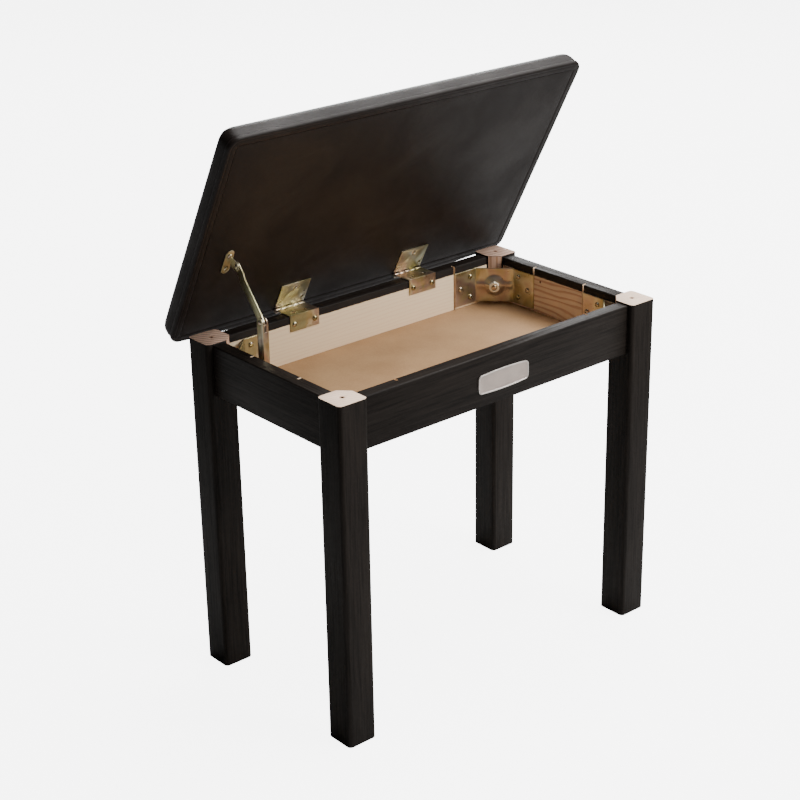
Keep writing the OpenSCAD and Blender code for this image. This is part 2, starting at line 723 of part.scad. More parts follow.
leg_front_left();
leg_front_right();
leg_back_left();
leg_back_right();
front_rail();
back_rail();
left_rail();
right_rail();
floor_panel();
floor_nails();
corner_bracket_front_left();
corner_bracket_front_right();
corner_bracket_back_left();
corner_bracket_back_right();
leg_bolts();
leg_nuts();
bracket_screws();
front_plate();
lower_hinge_leaf_left();
lower_hinge_leaf_right();
hinge_pin_left();
hinge_pin_right();
hinge_rail_screws();
upper_hinge_leaf_left();
upper_hinge_leaf_right();
hinge_lid_screws();
stay_base_plate();
stay_base_screws();
stay_lower_arm();
stay_foot_pin();
stay_elbow_rivet();
stay_upper_arm();
stay_lid_bracket();
stay_lid_screws();
stay_top_rivet();
seat_board();
foam_pad();
seat_cover();
underside_cover();
cover_staples();
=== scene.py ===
import json
import math
import bpy
import bmesh
from mathutils import Matrix, Vector, noise

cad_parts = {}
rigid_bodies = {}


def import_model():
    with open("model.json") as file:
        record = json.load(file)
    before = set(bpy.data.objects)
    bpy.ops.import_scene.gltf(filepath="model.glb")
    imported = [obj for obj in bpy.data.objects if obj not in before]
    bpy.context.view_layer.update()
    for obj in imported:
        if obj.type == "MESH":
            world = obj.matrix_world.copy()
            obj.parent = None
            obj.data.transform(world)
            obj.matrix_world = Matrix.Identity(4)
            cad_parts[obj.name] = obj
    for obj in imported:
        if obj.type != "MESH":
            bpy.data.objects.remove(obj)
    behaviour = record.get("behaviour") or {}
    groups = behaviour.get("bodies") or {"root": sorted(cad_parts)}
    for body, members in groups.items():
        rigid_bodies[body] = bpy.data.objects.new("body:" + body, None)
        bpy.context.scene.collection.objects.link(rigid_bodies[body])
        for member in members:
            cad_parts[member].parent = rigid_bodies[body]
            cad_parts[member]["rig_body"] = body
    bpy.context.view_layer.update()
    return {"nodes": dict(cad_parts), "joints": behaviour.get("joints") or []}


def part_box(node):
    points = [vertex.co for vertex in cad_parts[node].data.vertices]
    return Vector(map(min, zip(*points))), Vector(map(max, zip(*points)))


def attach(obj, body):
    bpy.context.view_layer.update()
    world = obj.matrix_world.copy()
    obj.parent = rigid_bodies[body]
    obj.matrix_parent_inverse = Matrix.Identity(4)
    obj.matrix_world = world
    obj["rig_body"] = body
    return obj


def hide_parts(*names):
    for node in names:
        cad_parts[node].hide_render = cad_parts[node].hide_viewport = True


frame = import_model()
nodes = frame["nodes"]
bodyOf = {name: nodes[name]["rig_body"] for name in nodes}
mm = 0.001
weld = 0.002 * mm  # points nearer than this are merged

# The lid is built shut, then swung open about its hinge like the CAD lid
hinge = next(j for j in frame["joints"] if j["name"] == "lid_hinge")
axisPoint = Vector(hinge["pos_m"])
openAngle = math.radians(hinge["range_deg"][1])
swingShut = (Matrix.Translation(axisPoint) @ Matrix.Rotation(openAngle, 4, "X")
             @ Matrix.Translation(-axisPoint))
swingOpen = swingShut.inverted()


def shutBox(nodeName):
    # lowest and highest corner of a lid node with the lid shut
    points = [swingShut @ v.co for v in nodes[nodeName].data.vertices]
    low = Vector([min(p[i] for p in points) for i in range(3)])
    high = Vector([max(p[i] for p in points) for i in range(3)])
    return low, high


def clearSelection():
    if bpy.context.object and bpy.context.object.mode != "OBJECT":
        bpy.ops.object.mode_set(mode="OBJECT")
    bpy.ops.object.select_all(action="DESELECT")


def pick(piece):
    clearSelection()
    piece.select_set(True)
    bpy.context.view_layer.objects.active = piece


def modify(piece, kind, **settings):
    pick(piece)
    bpy.ops.object.modifier_add(type=kind)
    modifier = piece.modifiers[-1]
    for key, value in settings.items():
        setattr(modifier, key, value)
    bpy.ops.object.modifier_apply(modifier=modifier.name)


def smoothEdges(piece, degrees=35):
    pick(piece)
    bpy.ops.object.shade_smooth_by_angle(angle=math.radians(degrees))


def settle(piece):
    # place, turn and size go into the mesh, as on a CAD node
    pick(piece)
    bpy.ops.object.transform_apply(location=True, rotation=True, scale=True)


def joinPieces(pieces, name):
    clearSelection()
    for piece in pieces:
        piece.select_set(True)
    bpy.context.view_layer.objects.active = pieces[0]
    bpy.ops.object.join()
    joined = bpy.context.object
    joined.name = name
    joined.data.name = name
    return joined


def copyPiece(piece, name, matrix):
    twin = piece.copy()
    twin.data = piece.data.copy()
    twin.name = name
    bpy.context.scene.collection.objects.link(twin)
    twin.data.transform(matrix)
    if matrix.determinant() < 0:
        twin.data.flip_normals()
    return twin


def standFor(piece, *nodeNames):
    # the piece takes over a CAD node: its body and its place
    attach(piece, bodyOf[nodeNames[0]])
    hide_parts(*nodeNames)
    return piece


def finishWith(piece, *materials):
    piece.data.materials.clear()
    for material in materials:
        piece.data.materials.append(material)


def easedCopy(nodeName, pieceName, width):
    # a CAD part with its sharp arrises eased, as they leave the workshop
    source = nodes[nodeName]
    piece = source.copy()
    piece.data = source.data.copy()
    piece.parent = None
    for key in list(piece.keys()):
        del piece[key]
    piece.name = pieceName
    piece.data.name = pieceName
    bpy.context.scene.collection.objects.link(piece)
    pick(piece)
    bpy.ops.object.mode_set(mode="EDIT")
    bpy.ops.mesh.select_all(action="SELECT")
    bpy.ops.mesh.remove_doubles(threshold=weld)
    bpy.ops.mesh.dissolve_limited(angle_limit=math.radians(0.5))
    bpy.ops.object.mode_set(mode="OBJECT")
    modify(piece, "BEVEL", width=width, segments=2, limit_method="ANGLE",
           angle_limit=math.radians(40), use_clamp_overlap=True, harden_normals=False)
    smoothEdges(piece)
    return piece


def sheetPiece(name, columns, rows, place):
    # a grid of quads laid wherever place(u, v) says, u and v running 0 to 1
    bpy.ops.mesh.primitive_grid_add(x_subdivisions=columns, y_subdivisions=rows, size=1)
    sheet = bpy.context.object
    sheet.name = name
    sheet.data.name = name
    for v in sheet.data.vertices:
        v.co = place(v.co.x + 0.5, v.co.y + 0.5)
    pick(sheet)
    bpy.ops.object.mode_set(mode="EDIT")
    bpy.ops.mesh.select_all(action="SELECT")
    bpy.ops.mesh.remove_doubles(threshold=weld)
    bpy.ops.mesh.dissolve_degenerate(threshold=weld)
    bpy.ops.mesh.select_all(action="SELECT")
    bpy.ops.mesh.normals_make_consistent(inside=False)
    bpy.ops.object.mode_set(mode="OBJECT")
    return sheet


def alongPath(path, share):
    # point this share of the way along a list of points
    lengths = [(b - a).length for a, b in zip(path, path[1:])]
    left = share * sum(lengths)
    for a, b, length in zip(path, path[1:], lengths):
        if left <= length or b is path[-1]:
            return a.lerp(b, min(left / length, 1) if length else 0)
        left -= length


def edgeAt(low, high, radius, share):
    # a point on a rounded rectangle, the way outward there, how far round a corner
    straightX = high.x - low.x - 2 * radius
    straightY = high.y - low.y - 2 * radius
    arc = math.pi / 2 * radius
    left = share % 1 * 2 * (straightX + straightY + 2 * arc)
    angle = -math.pi / 2
    at = Vector((low.x + radius, low.y, 0))
    for straight in (straightX, straightY, straightX, straightY):
        out = Vector((math.cos(angle), math.sin(angle), 0))
        run = Vector((-out.y, out.x, 0))
        if left <= straight:
            return at + run * left, out, 0.0
        left -= straight
        hub = at + run * straight - out * radius
        if left <= arc:
            out = Vector((math.cos(angle + left / radius), math.sin(angle + left / radius), 0))
            return hub + out * radius, out, left / arc
        left -= arc
        angle += math.pi / 2
        at = hub + Vector((math.cos(angle), math.sin(angle), 0)) * radius
    return at, out, 0.0


def turnedPiece(name, profile, around, reshape=None):
    # profile holds (radius, height) pairs; reshape may alter a point by its angle
    rows = len(profile) - 1

    def place(u, v):
        radius, height = profile[round(v * rows)]
        angle = 2 * math.pi * u
        if reshape:
            radius, height = reshape(angle, radius, height)
        return Vector((radius * math.cos(angle), radius * math.sin(angle), height))
    return sheetPiece(name, around, rows, place)


def islandsOf(nodeName, shut=False):
    # corner points of each loose solid of a CAD node
    mesh = bmesh.new()
    mesh.from_mesh(nodes[nodeName].data)
    bmesh.ops.remove_doubles(mesh, verts=mesh.verts, dist=weld)
    seen = set()
    islands = []
    for start in mesh.verts:
        if start in seen:
            continue
        seen.add(start)
        stack = [start]
        points = []
        while stack:
            v = stack.pop()
            points.append(swingShut @ v.co if shut else v.co.copy())
            for edge in v.link_edges:
                other = edge.other_vert(v)
                if other not in seen:
                    seen.add(other)
                    stack.append(other)
        islands.append(points)
    mesh.free()
    return islands


def paintFaces(piece, slotNumber, test):
    for face in piece.data.polygons:
        if test(face.center, face.normal):
            face.material_index = slotNumber


def newMaterial(name):
    material = bpy.data.materials.new(name)
    material.use_nodes = True
    return material, material.node_tree, material.node_tree.nodes["Principled BSDF"]


def addNode(tree, kind, **values):
    made = tree.nodes.new("ShaderNode" + kind)
    for key, value in values.items():
        if key in made.inputs:
            made.inputs[key].default_value = value
        else:
            setattr(made, key, value)
    return made


def mapped(tree, stretch=(1, 1, 1), turn=(0, 0, 0), shift=(0, 0, 0)):
    # object coordinates, stretched so that a pattern runs along a piece
    coordinates = addNode(tree, "TexCoord")
    mapping = addNode(tree, "Mapping", Scale=stretch, Rotation=turn, Location=shift)
    tree.links.new(coordinates.outputs["Object"], mapping.inputs["Vector"])
    return mapping.outputs["Vector"]


def noiseFrom(tree, vector, scale, detail=3.0, rough=0.55, warp=0.0):
    made = addNode(tree, "TexNoise", Scale=scale, Detail=detail, Roughness=rough,
                   Distortion=warp)
    tree.links.new(vector, made.inputs["Vector"])
    return made.outputs["Fac"]


def ramp(tree, factor, stops):
    made = addNode(tree, "ValToRGB")
    elements = made.color_ramp.elements
    while len(elements) < len(stops):
        elements.new(0.5)
    for element, (place, colour) in zip(elements, stops):
        element.position = place
        element.color = (*colour, 1)
    tree.links.new(factor, made.inputs["Fac"])
    return made.outputs["Color"]


def spread(tree, factor, low, high, fromLow=0.0, fromHigh=1.0):
    made = addNode(tree, "MapRange", **{"From Min": fromLow, "From Max": fromHigh,
                                        "To Min": low, "To Max": high})
    tree.links.new(factor, made.inputs["Value"])
    return made.outputs["Result"]


def feed(tree, socket, value):
    # value is a number, a colour or another node's output
    if isinstance(value, (int, float)):
        socket.default_value = value
    elif isinstance(value, tuple):
        socket.default_value = (*value, 1)
    else:
        tree.links.new(value, socket)


def mixColours(tree, factor, first, second, blend="MIX"):
    made = addNode(tree, "Mix", data_type="RGBA", blend_type=blend)
    feed(tree, made.inputs[0], factor)
    feed(tree, made.inputs[6], first)
    feed(tree, made.inputs[7], second)
    return made.outputs[2]


def reckon(tree, operation, first, second):
    made = addNode(tree, "Math", operation=operation)
    feed(tree, made.inputs[0], first)
    feed(tree, made.inputs[1], second)
    return made.outputs["Value"]


def coat(tree, shader, **values):
    names = {"colour": "Base Color", "rough": "Roughness", "shine": "Specular IOR Level",
             "metal": "Metallic"}
    for key, value in values.items():
        feed(tree, shader.inputs[names[key]], value)


def bumpFrom(tree, shader, height, distance, strength=1.0, under=None):
    made = addNode(tree, "Bump", Distance=distance, Strength=strength)
    tree.links.new(height, made.inputs["Height"])
    if under:
        tree.links.new(under, made.inputs["Normal"])
    tree.links.new(made.outputs["Normal"], shader.inputs["Normal"])
    return made.outputs["Normal"]


def stretchAlong(axis, across=1.0, along=0.06):
    return tuple(along if i == axis else across for i in range(3))


blackWoodLook = {
    "pore": (0.0062, 0.0046, 0.0036),
    "stainAndHoleShade": (0.0142, 0.0108, 0.0086),
    "worn": (0.0215, 0.0166, 0.0134),
    "rough": (0.44, 0.56),
    "poreDepth": 0.00012,
    "shine": 0.10,
}


def blackWood(name, axis):
    # black stain over open grain that runs along the given axis
    look = blackWoodLook
    material, tree, shader = newMaterial(name)
    long = mapped(tree, stretchAlong(axis, 1.0, 0.035))
    streak = noiseFrom(tree, long, 420, 4, 0.6, 0.25)
    broad = noiseFrom(tree, mapped(tree, stretchAlong(axis, 1.0, 0.12)), 38, 3, 0.5, 0.6)
    both = reckon(tree, "ADD", reckon(tree, "MULTIPLY", streak, 0.7),
                  reckon(tree, "MULTIPLY", broad, 0.3))
    colour = ramp(tree, both, [(0.34, look["pore"]), (0.50, look["stainAndHoleShade"]), (0.68, look["worn"])])
    coat(tree, shader, colour=colour, shine=look["shine"],
         rough=spread(tree, both, look["rough"][1], look["rough"][0], 0.3, 0.7))
    bumpFrom(tree, shader, spread(tree, streak, 0, 1, 0.36, 0.56), look["poreDepth"], 0.5)
    return material


def bareWood(name, axis, early, late, bands, warp, fibre=0.6, turn=(0, 0, 0), shift=(0, 0, 0),
             along=0.10):
    # raw sawn wood: growth bands, fine fibres and a dry surface
    material, tree, shader = newMaterial(name)
    stretched = mapped(tree, stretchAlong(axis, 1.0, along), turn, shift)
    wave = addNode(tree, "TexWave", wave_type="BANDS", Scale=bands, Distortion=warp, Detail=2.5,
                   bands_direction="Z" if axis != 2 else "X",
                   **{"Detail Scale": 0.9, "Detail Roughness": 0.5})
    tree.links.new(stretched, wave.inputs["Vector"])
    fibres = noiseFrom(tree, mapped(tree, stretchAlong(axis, 1.0, 0.03)), 700, 3, 0.6)
    colour = ramp(tree, wave.outputs["Fac"], [(0.0, early), (0.55, early), (0.92, late)])
    shade = ramp(tree, fibres, [(0.3, (0.80, 0.77, 0.72)), (0.62, (1, 1, 1))])
    coat(tree, shader, colour=mixColours(tree, fibre, colour, shade, "MULTIPLY"),
         rough=spread(tree, fibres, 0.78, 0.6), shine=0.3)
    bumpFrom(tree, shader, fibres, 0.0002, 0.5)
    return material


endGrainLook = {
    "stainAndHoleShade": (0.30, 0.165, 0.10),  # painted shade: brown in and round the turning-centre hole
    "holeShadeRadius": (2.2 * mm, 3.8 * mm),
}


def endGrain(name, pale, dark, centre, rings, sawMarks):
    # sawn end of a leg: growth rings across it and a few saw lines, with painted shade in and
    # round its centre hole
    material, tree, shader = newMaterial(name)
    around = mapped(tree, (1, 1, 0.01), (0, 0, 0), centre)
    wave = addNode(tree, "TexWave", wave_type="RINGS", rings_direction="Z", Scale=rings,
                   Distortion=1.4, Detail=2.0)
    tree.links.new(around, wave.inputs["Vector"])
    speck = noiseFrom(tree, mapped(tree, (1, 1, 0.05)), 900, 3, 0.7)
    colour = ramp(tree, wave.outputs["Fac"], [(0.0, pale), (0.6, pale), (1.0, dark)])
    shade = ramp(tree, speck, [(0.35, (0.72, 0.66, 0.6)), (0.6, (1, 1, 1))])
    sawn = mixColours(tree, sawMarks, colour, shade, "MULTIPLY")
    # painted shade: the hole's floor and a ring round it are coloured brown
    parts = addNode(tree, "SeparateXYZ")
    tree.links.new(mapped(tree, shift=(0, -middleY, 0)), parts.inputs["Vector"])
    hole = spotMask(tree, *[reckon(tree, "SUBTRACT", reckon(tree, "ABSOLUTE", parts.outputs[i], 0),
                                   abs(legMiddle[i])) for i in (0, 1)],
                    *endGrainLook["holeShadeRadius"])
    coat(tree, shader, colour=mixColours(tree, hole, sawn, endGrainLook["stainAndHoleShade"]), rough=0.72,
         shine=0.3)
    bumpFrom(tree, shader, speck, 0.0002, 0.5)
    return material


def spotMask(tree, first, second, inner, outer):
    # 1 at a spot, falling to 0; first and second are distances from its middle
    away = reckon(tree, "SQRT", reckon(tree, "ADD", reckon(tree, "MULTIPLY", first, first),
                                       reckon(tree, "MULTIPLY", second, second)), 0)
    return spread(tree, away, 1, 0, inner, outer)


railInsideLook = {
    "lineDrop": 10 * mm,           # the black finish stops this far below the rail's top
    "knot": (0.0325, -0.0165),     # from the middle of the rail, and from its top
    "knotRadius": (0.9 * mm, 2.0 * mm),
    "knotColour": (0.07, 0.035, 0.022),
}


def railInside(name, axis, bare, railTop):
    # bare wood inside the box, with the finish lapping over the top edge
    tree = bare.node_tree
    shader = tree.nodes["Principled BSDF"]
    coordinates = addNode(tree, "TexCoord")
    parts = addNode(tree, "SeparateXYZ")
    tree.links.new(coordinates.outputs["Object"], parts.inputs["Vector"])
    ragged = noiseFrom(tree, mapped(tree, stretchAlong(axis, 1.0, 0.5)), 260, 2)
    line = reckon(tree, "ADD", parts.outputs["Z"], reckon(tree, "MULTIPLY", ragged, 0.0012))
    look = railInsideLook
    edge = railTop - look["lineDrop"]
    mask = spread(tree, line, 0, 1, edge + 0.0003, edge + 0.0009)
    woodLink = shader.inputs["Base Color"].links[0].from_socket
    if axis == 1:
        # a small knot in the right rail
        knot = spotMask(tree, reckon(tree, "SUBTRACT", parts.outputs["Y"],
                                     middleY + look["knot"][0]),
                        reckon(tree, "SUBTRACT", parts.outputs["Z"],
                               railTop + look["knot"][1]), *look["knotRadius"])
        onRight = reckon(tree, "GREATER_THAN", parts.outputs["X"], 0)
        woodLink = mixColours(tree, reckon(tree, "MULTIPLY", knot, onRight), woodLink,
                              look["knotColour"])
    black = ramp(tree, noiseFrom(tree, mapped(tree, stretchAlong(axis)), 420, 4),
                 [(0.34, blackWoodLook["pore"]), (0.6, blackWoodLook["stainAndHoleShade"])])
    coat(tree, shader, colour=mixColours(tree, mask, woodLink, black))
    bare.name = name
    return bare


zincLook = {
    "gold": (0.43, 0.37, 0.20),
    "olive": (0.35, 0.345, 0.20),
    "rose": (0.49, 0.375, 0.30),
    "pale": (0.61, 0.555, 0.40),
}


def yellowZinc(name, scale=16, rough=(0.27, 0.40)):
    # passivated plating: slow drifts of gold, olive and rose over steel
    look = zincLook
    material, tree, shader = newMaterial(name)
    plain = mapped(tree)
    drift = noiseFrom(tree, plain, scale, 2.5, 0.5, 0.9)
    fine = noiseFrom(tree, plain, scale * 14, 3, 0.6)
    colour = ramp(tree, drift, [(0.30, look["olive"]), (0.43, look["gold"]),
                                (0.53, look["pale"]), (0.62, look["rose"]),
                                (0.74, look["gold"])])
    shade = ramp(tree, fine, [(0.3, (0.86, 0.84, 0.80)), (0.6, (1, 1, 1))])
    coat(tree, shader, colour=mixColours(tree, 0.35, colour, shade, "MULTIPLY"), metal=0.94,
         rough=spread(tree, fine, rough[0], rough[1], 0.3, 0.7))
    bumpFrom(tree, shader, fine, 0.00004, 0.3)
    return material


def satinPlate(name, colour, rough):
    material, tree, shader = newMaterial(name)
    brushed = noiseFrom(tree, mapped(tree, (0.05, 1, 1)), 1600, 2, 0.5)
    cloud = noiseFrom(tree, mapped(tree), 60, 3, 0.5)
    dull = tuple(c * 0.84 for c in colour)
    coat(tree, shader, colour=ramp(tree, cloud, [(0.3, dull), (0.65, colour)]), metal=0.55,
         rough=spread(tree, brushed, rough - 0.06, rough + 0.08))
    bumpFrom(tree, shader, brushed, 0.00005, 0.3)
    return material


hardboardLook = {"dark": (0.33, 0.185, 0.085), "light": (0.45, 0.272, 0.135)}


def pressedBoard(name):
    material, tree, shader = newMaterial(name)
    plain = mapped(tree)
    fibres = noiseFrom(tree, plain, 520, 5, 0.7, 0.4)
    clouds = noiseFrom(tree, plain, 22, 3, 0.5)
    both = reckon(tree, "ADD", reckon(tree, "MULTIPLY", fibres, 0.55),
                  reckon(tree, "MULTIPLY", clouds, 0.45))
    colour = ramp(tree, both, [(0.32, hardboardLook["dark"]), (0.62, hardboardLook["light"])])
    coat(tree, shader, colour=colour, rough=spread(tree, fibres, 0.5, 0.68))
    bumpFrom(tree, shader, fibres, 0.0002, 0.35)
    return material


leatherLook = {
    "dark": (0.0105, 0.0068, 0.0053),
    "light": (0.0155, 0.0106, 0.0084),
    "pebble": 0.0014,
    "depth": 0.00012,
    "shine": 0.15,
}


def leatherette(name, rough=(0.36, 0.50), softness=0.3):
    # coated cloth: a fine pebbled skin with slow changes of sheen, and painted shade darkening the
    # grooves between the pebbles
    look = leatherLook
    material, tree, shader = newMaterial(name)
    plain = mapped(tree)
    cells = addNode(tree, "TexVoronoi", feature="DISTANCE_TO_EDGE", Scale=1 / look["pebble"])
    tree.links.new(plain, cells.inputs["Vector"])
    pebbles = spread(tree, cells.outputs["Distance"], 0, 1, 0.0, 0.32)
    fine = noiseFrom(tree, plain, 1500, 3, 0.6)
    clouds = noiseFrom(tree, plain, 14, 3, 0.5, 0.5)
    colour = ramp(tree, clouds, [(0.35, look["dark"]), (0.68, look["light"])])
    # painted shade: the grooves between the pebbles are coloured darker
    grooveShade = ramp(tree, pebbles, [(0.0, (0.62, 0.6, 0.58)), (0.5, (1, 1, 1))])
    coat(tree, shader, colour=mixColours(tree, 0.8, colour, grooveShade, "MULTIPLY"),
         rough=spread(tree, clouds, rough[1], rough[0], 0.3, 0.7), shine=look["shine"])
    soft = bumpFrom(tree, shader, clouds, 0.003, softness)
    grainy = bumpFrom(tree, shader, pebbles, look["depth"], 0.7, soft)
    bumpFrom(tree, shader, fine, 0.00006, 0.4, grainy)
    return material


def brightSteel(name):
    material, tree, shader = newMaterial(name)
    fine = noiseFrom(tree, mapped(tree), 900, 3, 0.6)
    tone = ramp(tree, fine, [(0.3, (0.42, 0.42, 0.43)), (0.65, (0.62, 0.62, 0.63))])
    coat(tree, shader, colour=tone, rough=spread(tree, fine, 0.25, 0.4), metal=1.0)
    return material


print("materials")
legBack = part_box("leg_back_right")
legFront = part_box("leg_front_left")
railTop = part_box("back_rail")[1].z
middleY = (legBack[1].y + legFront[0].y) / 2
legMiddle = (legBack[0] + legBack[1]) / 2 - Vector((0, middleY, 0))

woodUp = blackWood("black stained wood, upright grain", 2)
woodAlong = blackWood("black stained wood, grain along the rail", 0)
woodBack = blackWood("black stained wood, grain front to back", 1)
creamInside = railInside("bare cream rail inside", 0, bareWood(
    "bare cream rail", 0, (0.97, 0.78, 0.53), (0.93, 0.725, 0.48), 62, 7.0, 0.10), railTop)
pineInside = railInside("bare pine rail inside", 1, bareWood(
    "bare pine rail", 1, (0.85, 0.67, 0.53), (0.62, 0.43, 0.325), 38, 9.0, 0.3,
    along=0.22), railTop)
bareFlat = bareWood("bare leg wood", 2, (0.66, 0.42, 0.29), (0.45, 0.25, 0.16), 55, 3.0, 0.5)
kerfWood = bareWood("fresh saw cut", 2, (0.74, 0.58, 0.42), (0.62, 0.45, 0.30), 30, 2.0, 0.4)
paleTop = endGrain("sanded leg top", (0.87, 0.66, 0.50), (0.76, 0.55, 0.41),
                   (0.3, 0.35, 0), 60, 0.3)
brownTop = endGrain("brown leg top", (0.58, 0.395, 0.295), (0.22, 0.125, 0.09),
                    (0.34, 0.1, 0), 52, 0.6)
zinc = yellowZinc("yellow zinc plate")
zincBright = yellowZinc("yellow zinc screws", 60, (0.16, 0.30))
hardboard = pressedBoard("brown hardboard")
coverSkin = leatherette("black leatherette")
linerSkin = leatherette("black lid liner", (0.38, 0.52), 0.3)
steel = brightSteel("bright steel wire")


legLook = {
    "ease": 0.5 * mm,
    "sawnEnd": 15 * mm,    # faces that look up this near the top are sawn wood
    "flatDrop": 66 * mm,   # the bare flat on the inner corner ends this far down
}


def makeLeg(nodeName, pieceName, top):
    look = legLook
    low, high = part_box(nodeName)
    centre = (low + high) / 2
    inward = Vector((-math.copysign(1, centre.x), -math.copysign(1, centre.y - middleY), 0))
    inward.normalize()
    leg = easedCopy(nodeName, pieceName, look["ease"])
    finishWith(leg, woodUp, top, bareFlat)
    paintFaces(leg, 1, lambda at, normal: normal.z > 0.5 and at.z > high.z - look["sawnEnd"])
    paintFaces(leg, 2, lambda at, normal: normal.dot(inward) > 0.98 and abs(normal.z) < 0.2
               and at.z > high.z - look["flatDrop"])
    return standFor(leg, nodeName)


print("legs")
for nodeName, pieceName, top in (("leg_front_left", "legFrontLeft", paleTop),
                                 ("leg_front_right", "legFrontRight", paleTop),
                                 ("leg_back_left", "legBackLeft", brownTop),
                                 ("leg_back_right", "legBackRight", brownTop)):
    makeLeg(nodeName, pieceName, top)

railLook = {
    "ease": 0.3 * mm,
    "skin": 0.4 * mm,                  # the inner face, give or take its eased edges
    "endMargin": 15 * mm,              # the saw cuts lie further in than this
    "cutFloor": (3 * mm, 6.5 * mm),    # their floors lie this deep
    "rabbetTop": 6 * mm,
}


def makeRail(nodeName, pieceName, outside, inside, axis):
    # axis is the way the rail runs: 0 is side to side, 1 is front to back
    look = railLook
    low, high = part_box(nodeName)
    thick = 1 - axis
    middle = (0, middleY)[thick]
    centre = (low + high) / 2
    inward = -math.copysign(1, centre[thick] - middle)
    innerFace = low[thick] if inward < 0 else high[thick]
    rail = easedCopy(nodeName, pieceName, look["ease"])
    finishWith(rail, outside, inside, kerfWood)

    def facesIn(normal):
        return normal[thick] * inward > 0.9

    def inCut(at, normal):
        # the walls and the floors of the two saw cuts, which are bare
        if abs(normal[axis]) > 0.9:
            return low[axis] + look["endMargin"] < at[axis] < high[axis] - look["endMargin"]
        depth = abs(at[thick] - innerFace)
        return (facesIn(normal) and look["cutFloor"][0] < depth < look["cutFloor"][1]
                and abs(normal.z) < 0.1 and at.z > low.z + look["rabbetTop"])
    paintFaces(rail, 1, lambda at, normal: facesIn(normal)
               and abs(at[thick] - innerFace) < look["skin"])
    paintFaces(rail, 2, inCut)
    return standFor(rail, nodeName)


print("rails")
for nodeName, pieceName, axis in (("front_rail", "frontRail", 0), ("back_rail", "backRail", 0),
                                  ("left_rail", "leftRail", 1), ("right_rail", "rightRail", 1)):
    makeRail(nodeName, pieceName, (woodAlong, woodBack)[axis], (creamInside, pineInside)[axis],
             axis)

boxFloorLook = {"ease": 0.3 * mm}
floorPanel = easedCopy("floor_panel", "boxFloor", boxFloorLook["ease"])
finishWith(floorPanel, hardboard)
standFor(floorPanel, "floor_panel")

plateLook = {
    "points": 168,
    "sideBow": 0.9 * mm,
    "cornerRadius": 4.2 * mm,
    "bow": 1.8 * mm,
    # distance in from the outline, height over the rail
    "section": [(0.0, 0.0), (0.0, 1.25), (0.12, 1.42), (0.35, 1.5), (1.25, 1.5),
                (1.5, 1.42), (1.75, 1.08), (1.95, 1.0), (2.0, 1.0), (2.0, 1.0)],
}


def makeFrontPlate():
    # plain plate: bowed edges, a raised rim and a sunk satin field
    look = plateLook
    low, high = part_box("front_plate")
    middle = (low + high) / 2
    halfX = (high.x - low.x) / 2
    halfZ = (high.z - low.z) / 2
    section = look["section"]
    rows = len(section) - 1
    flatLow = Vector((-halfX, -halfZ, 0))
    flatHigh = Vector((halfX, halfZ, 0))

    def place(u, v):
        edge, out, _ = edgeAt(flatLow, flatHigh, look["cornerRadius"], u)
        row = round(v * rows)
        distance, height = section[row]
        point = edge - out * distance * mm
        if row >= rows - 1:
            spine = Vector((max(-1, min(1, point.x / halfX)) * (halfX - halfZ), 0, 0))
            point = point.lerp(spine, 0.5 if row == rows - 1 else 1)
        x, y = point.x / halfX, point.y / halfZ
        return Vector((middle.x + point.x - look["sideBow"] * x * y * y,
                       high.y - height * mm,
                       middle.z + point.y - look["bow"] * y * x * x))
    plate = sheetPiece("frontPlate", look["points"], rows, place)
    finishWith(plate, satinPlate("bright rim", (0.66, 0.60, 0.55), 0.30),
               satinPlate("satin plate", (0.53, 0.445, 0.39), 0.38))
    fieldFace = high.y - section[-1][1] * mm
    paintFaces(plate, 1, lambda at, normal: abs(at.y - fieldFace) < 0.04 * mm
               and abs(normal.y) > 0.9)
    smoothEdges(plate, 40)
    return standFor(plate, "front_plate")


print("front plate")
makeFrontPlate()

print("hinges and stay")
for nodeName, pieceName, ease in (
        ("lower_hinge_leaf_left", "lowerLeafLeft", 0.2),
        ("lower_hinge_leaf_right", "lowerLeafRight", 0.2),
        ("upper_hinge_leaf_left", "upperLeafLeft", 0.2),
        ("upper_hinge_leaf_right", "upperLeafRight", 0.2),
        ("hinge_pin_left", "hingePinLeft", 0.4),
        ("hinge_pin_right", "hingePinRight", 0.4),
        ("stay_base_plate", "stayBasePlate", 0.3),
        ("stay_lower_arm", "stayLowerArm", 0.25),
        ("stay_upper_arm", "stayUpperArm", 0.3),
        ("stay_lid_bracket", "stayLidBracket", 0.3),
        ("stay_foot_pin", "stayFootPin", 0.2),
        ("stay_elbow_rivet", "stayElbowRivet", 0.2),
        ("stay_top_rivet", "stayTopRivet", 0.2)):
    part = easedCopy(nodeName, pieceName, ease * mm)
    finishWith(part, zincBright if "ivet" in pieceName else zinc)
    standFor(part, nodeName)

bracketLook = {
    "sheet": 1.5 * mm,
    "lip": 5 * mm,
    "flange": 37.6 * mm,
    "bendRadius": 4 * mm,
    "lipRadius": 1.6 * mm,
    "domeRadius": 15 * mm,
    "domeRise": 4 * mm,
    "ribRise": 1.7 * mm,
    "ribWidth": 4.6 * mm,
    "ribFade": (2 * mm, 3 * mm),   # the rib dies out between these, either side of a bend
    "arris": 0.3 * mm,
    "grid": (150, 44),
}


def roundedPath(corners, radii, steps=5):
    # a polyline whose inner corners are rounded off
    path = [corners[0]]
    for before, corner, after, radius in zip(corners, corners[1:], corners[2:], radii):
        first = (before - corner).normalized()
        second = (after - corner).normalized()
        half = math.acos(max(-1, min(1, first.dot(second)))) / 2
        reach = radius / math.tan(half)
        centre = corner + (first + second).normalized() * radius / math.sin(half)
        start = corner + first * reach - centre
        stop = corner + second * reach - centre
        turn = start.angle(stop)
        for i in range(steps + 1):
            share = i / steps
            path.append(centre + (start * math.sin((1 - share) * turn)
                                  + stop * math.sin(share * turn)) / math.sin(turn))
    path.append(corners[-1])
    return path


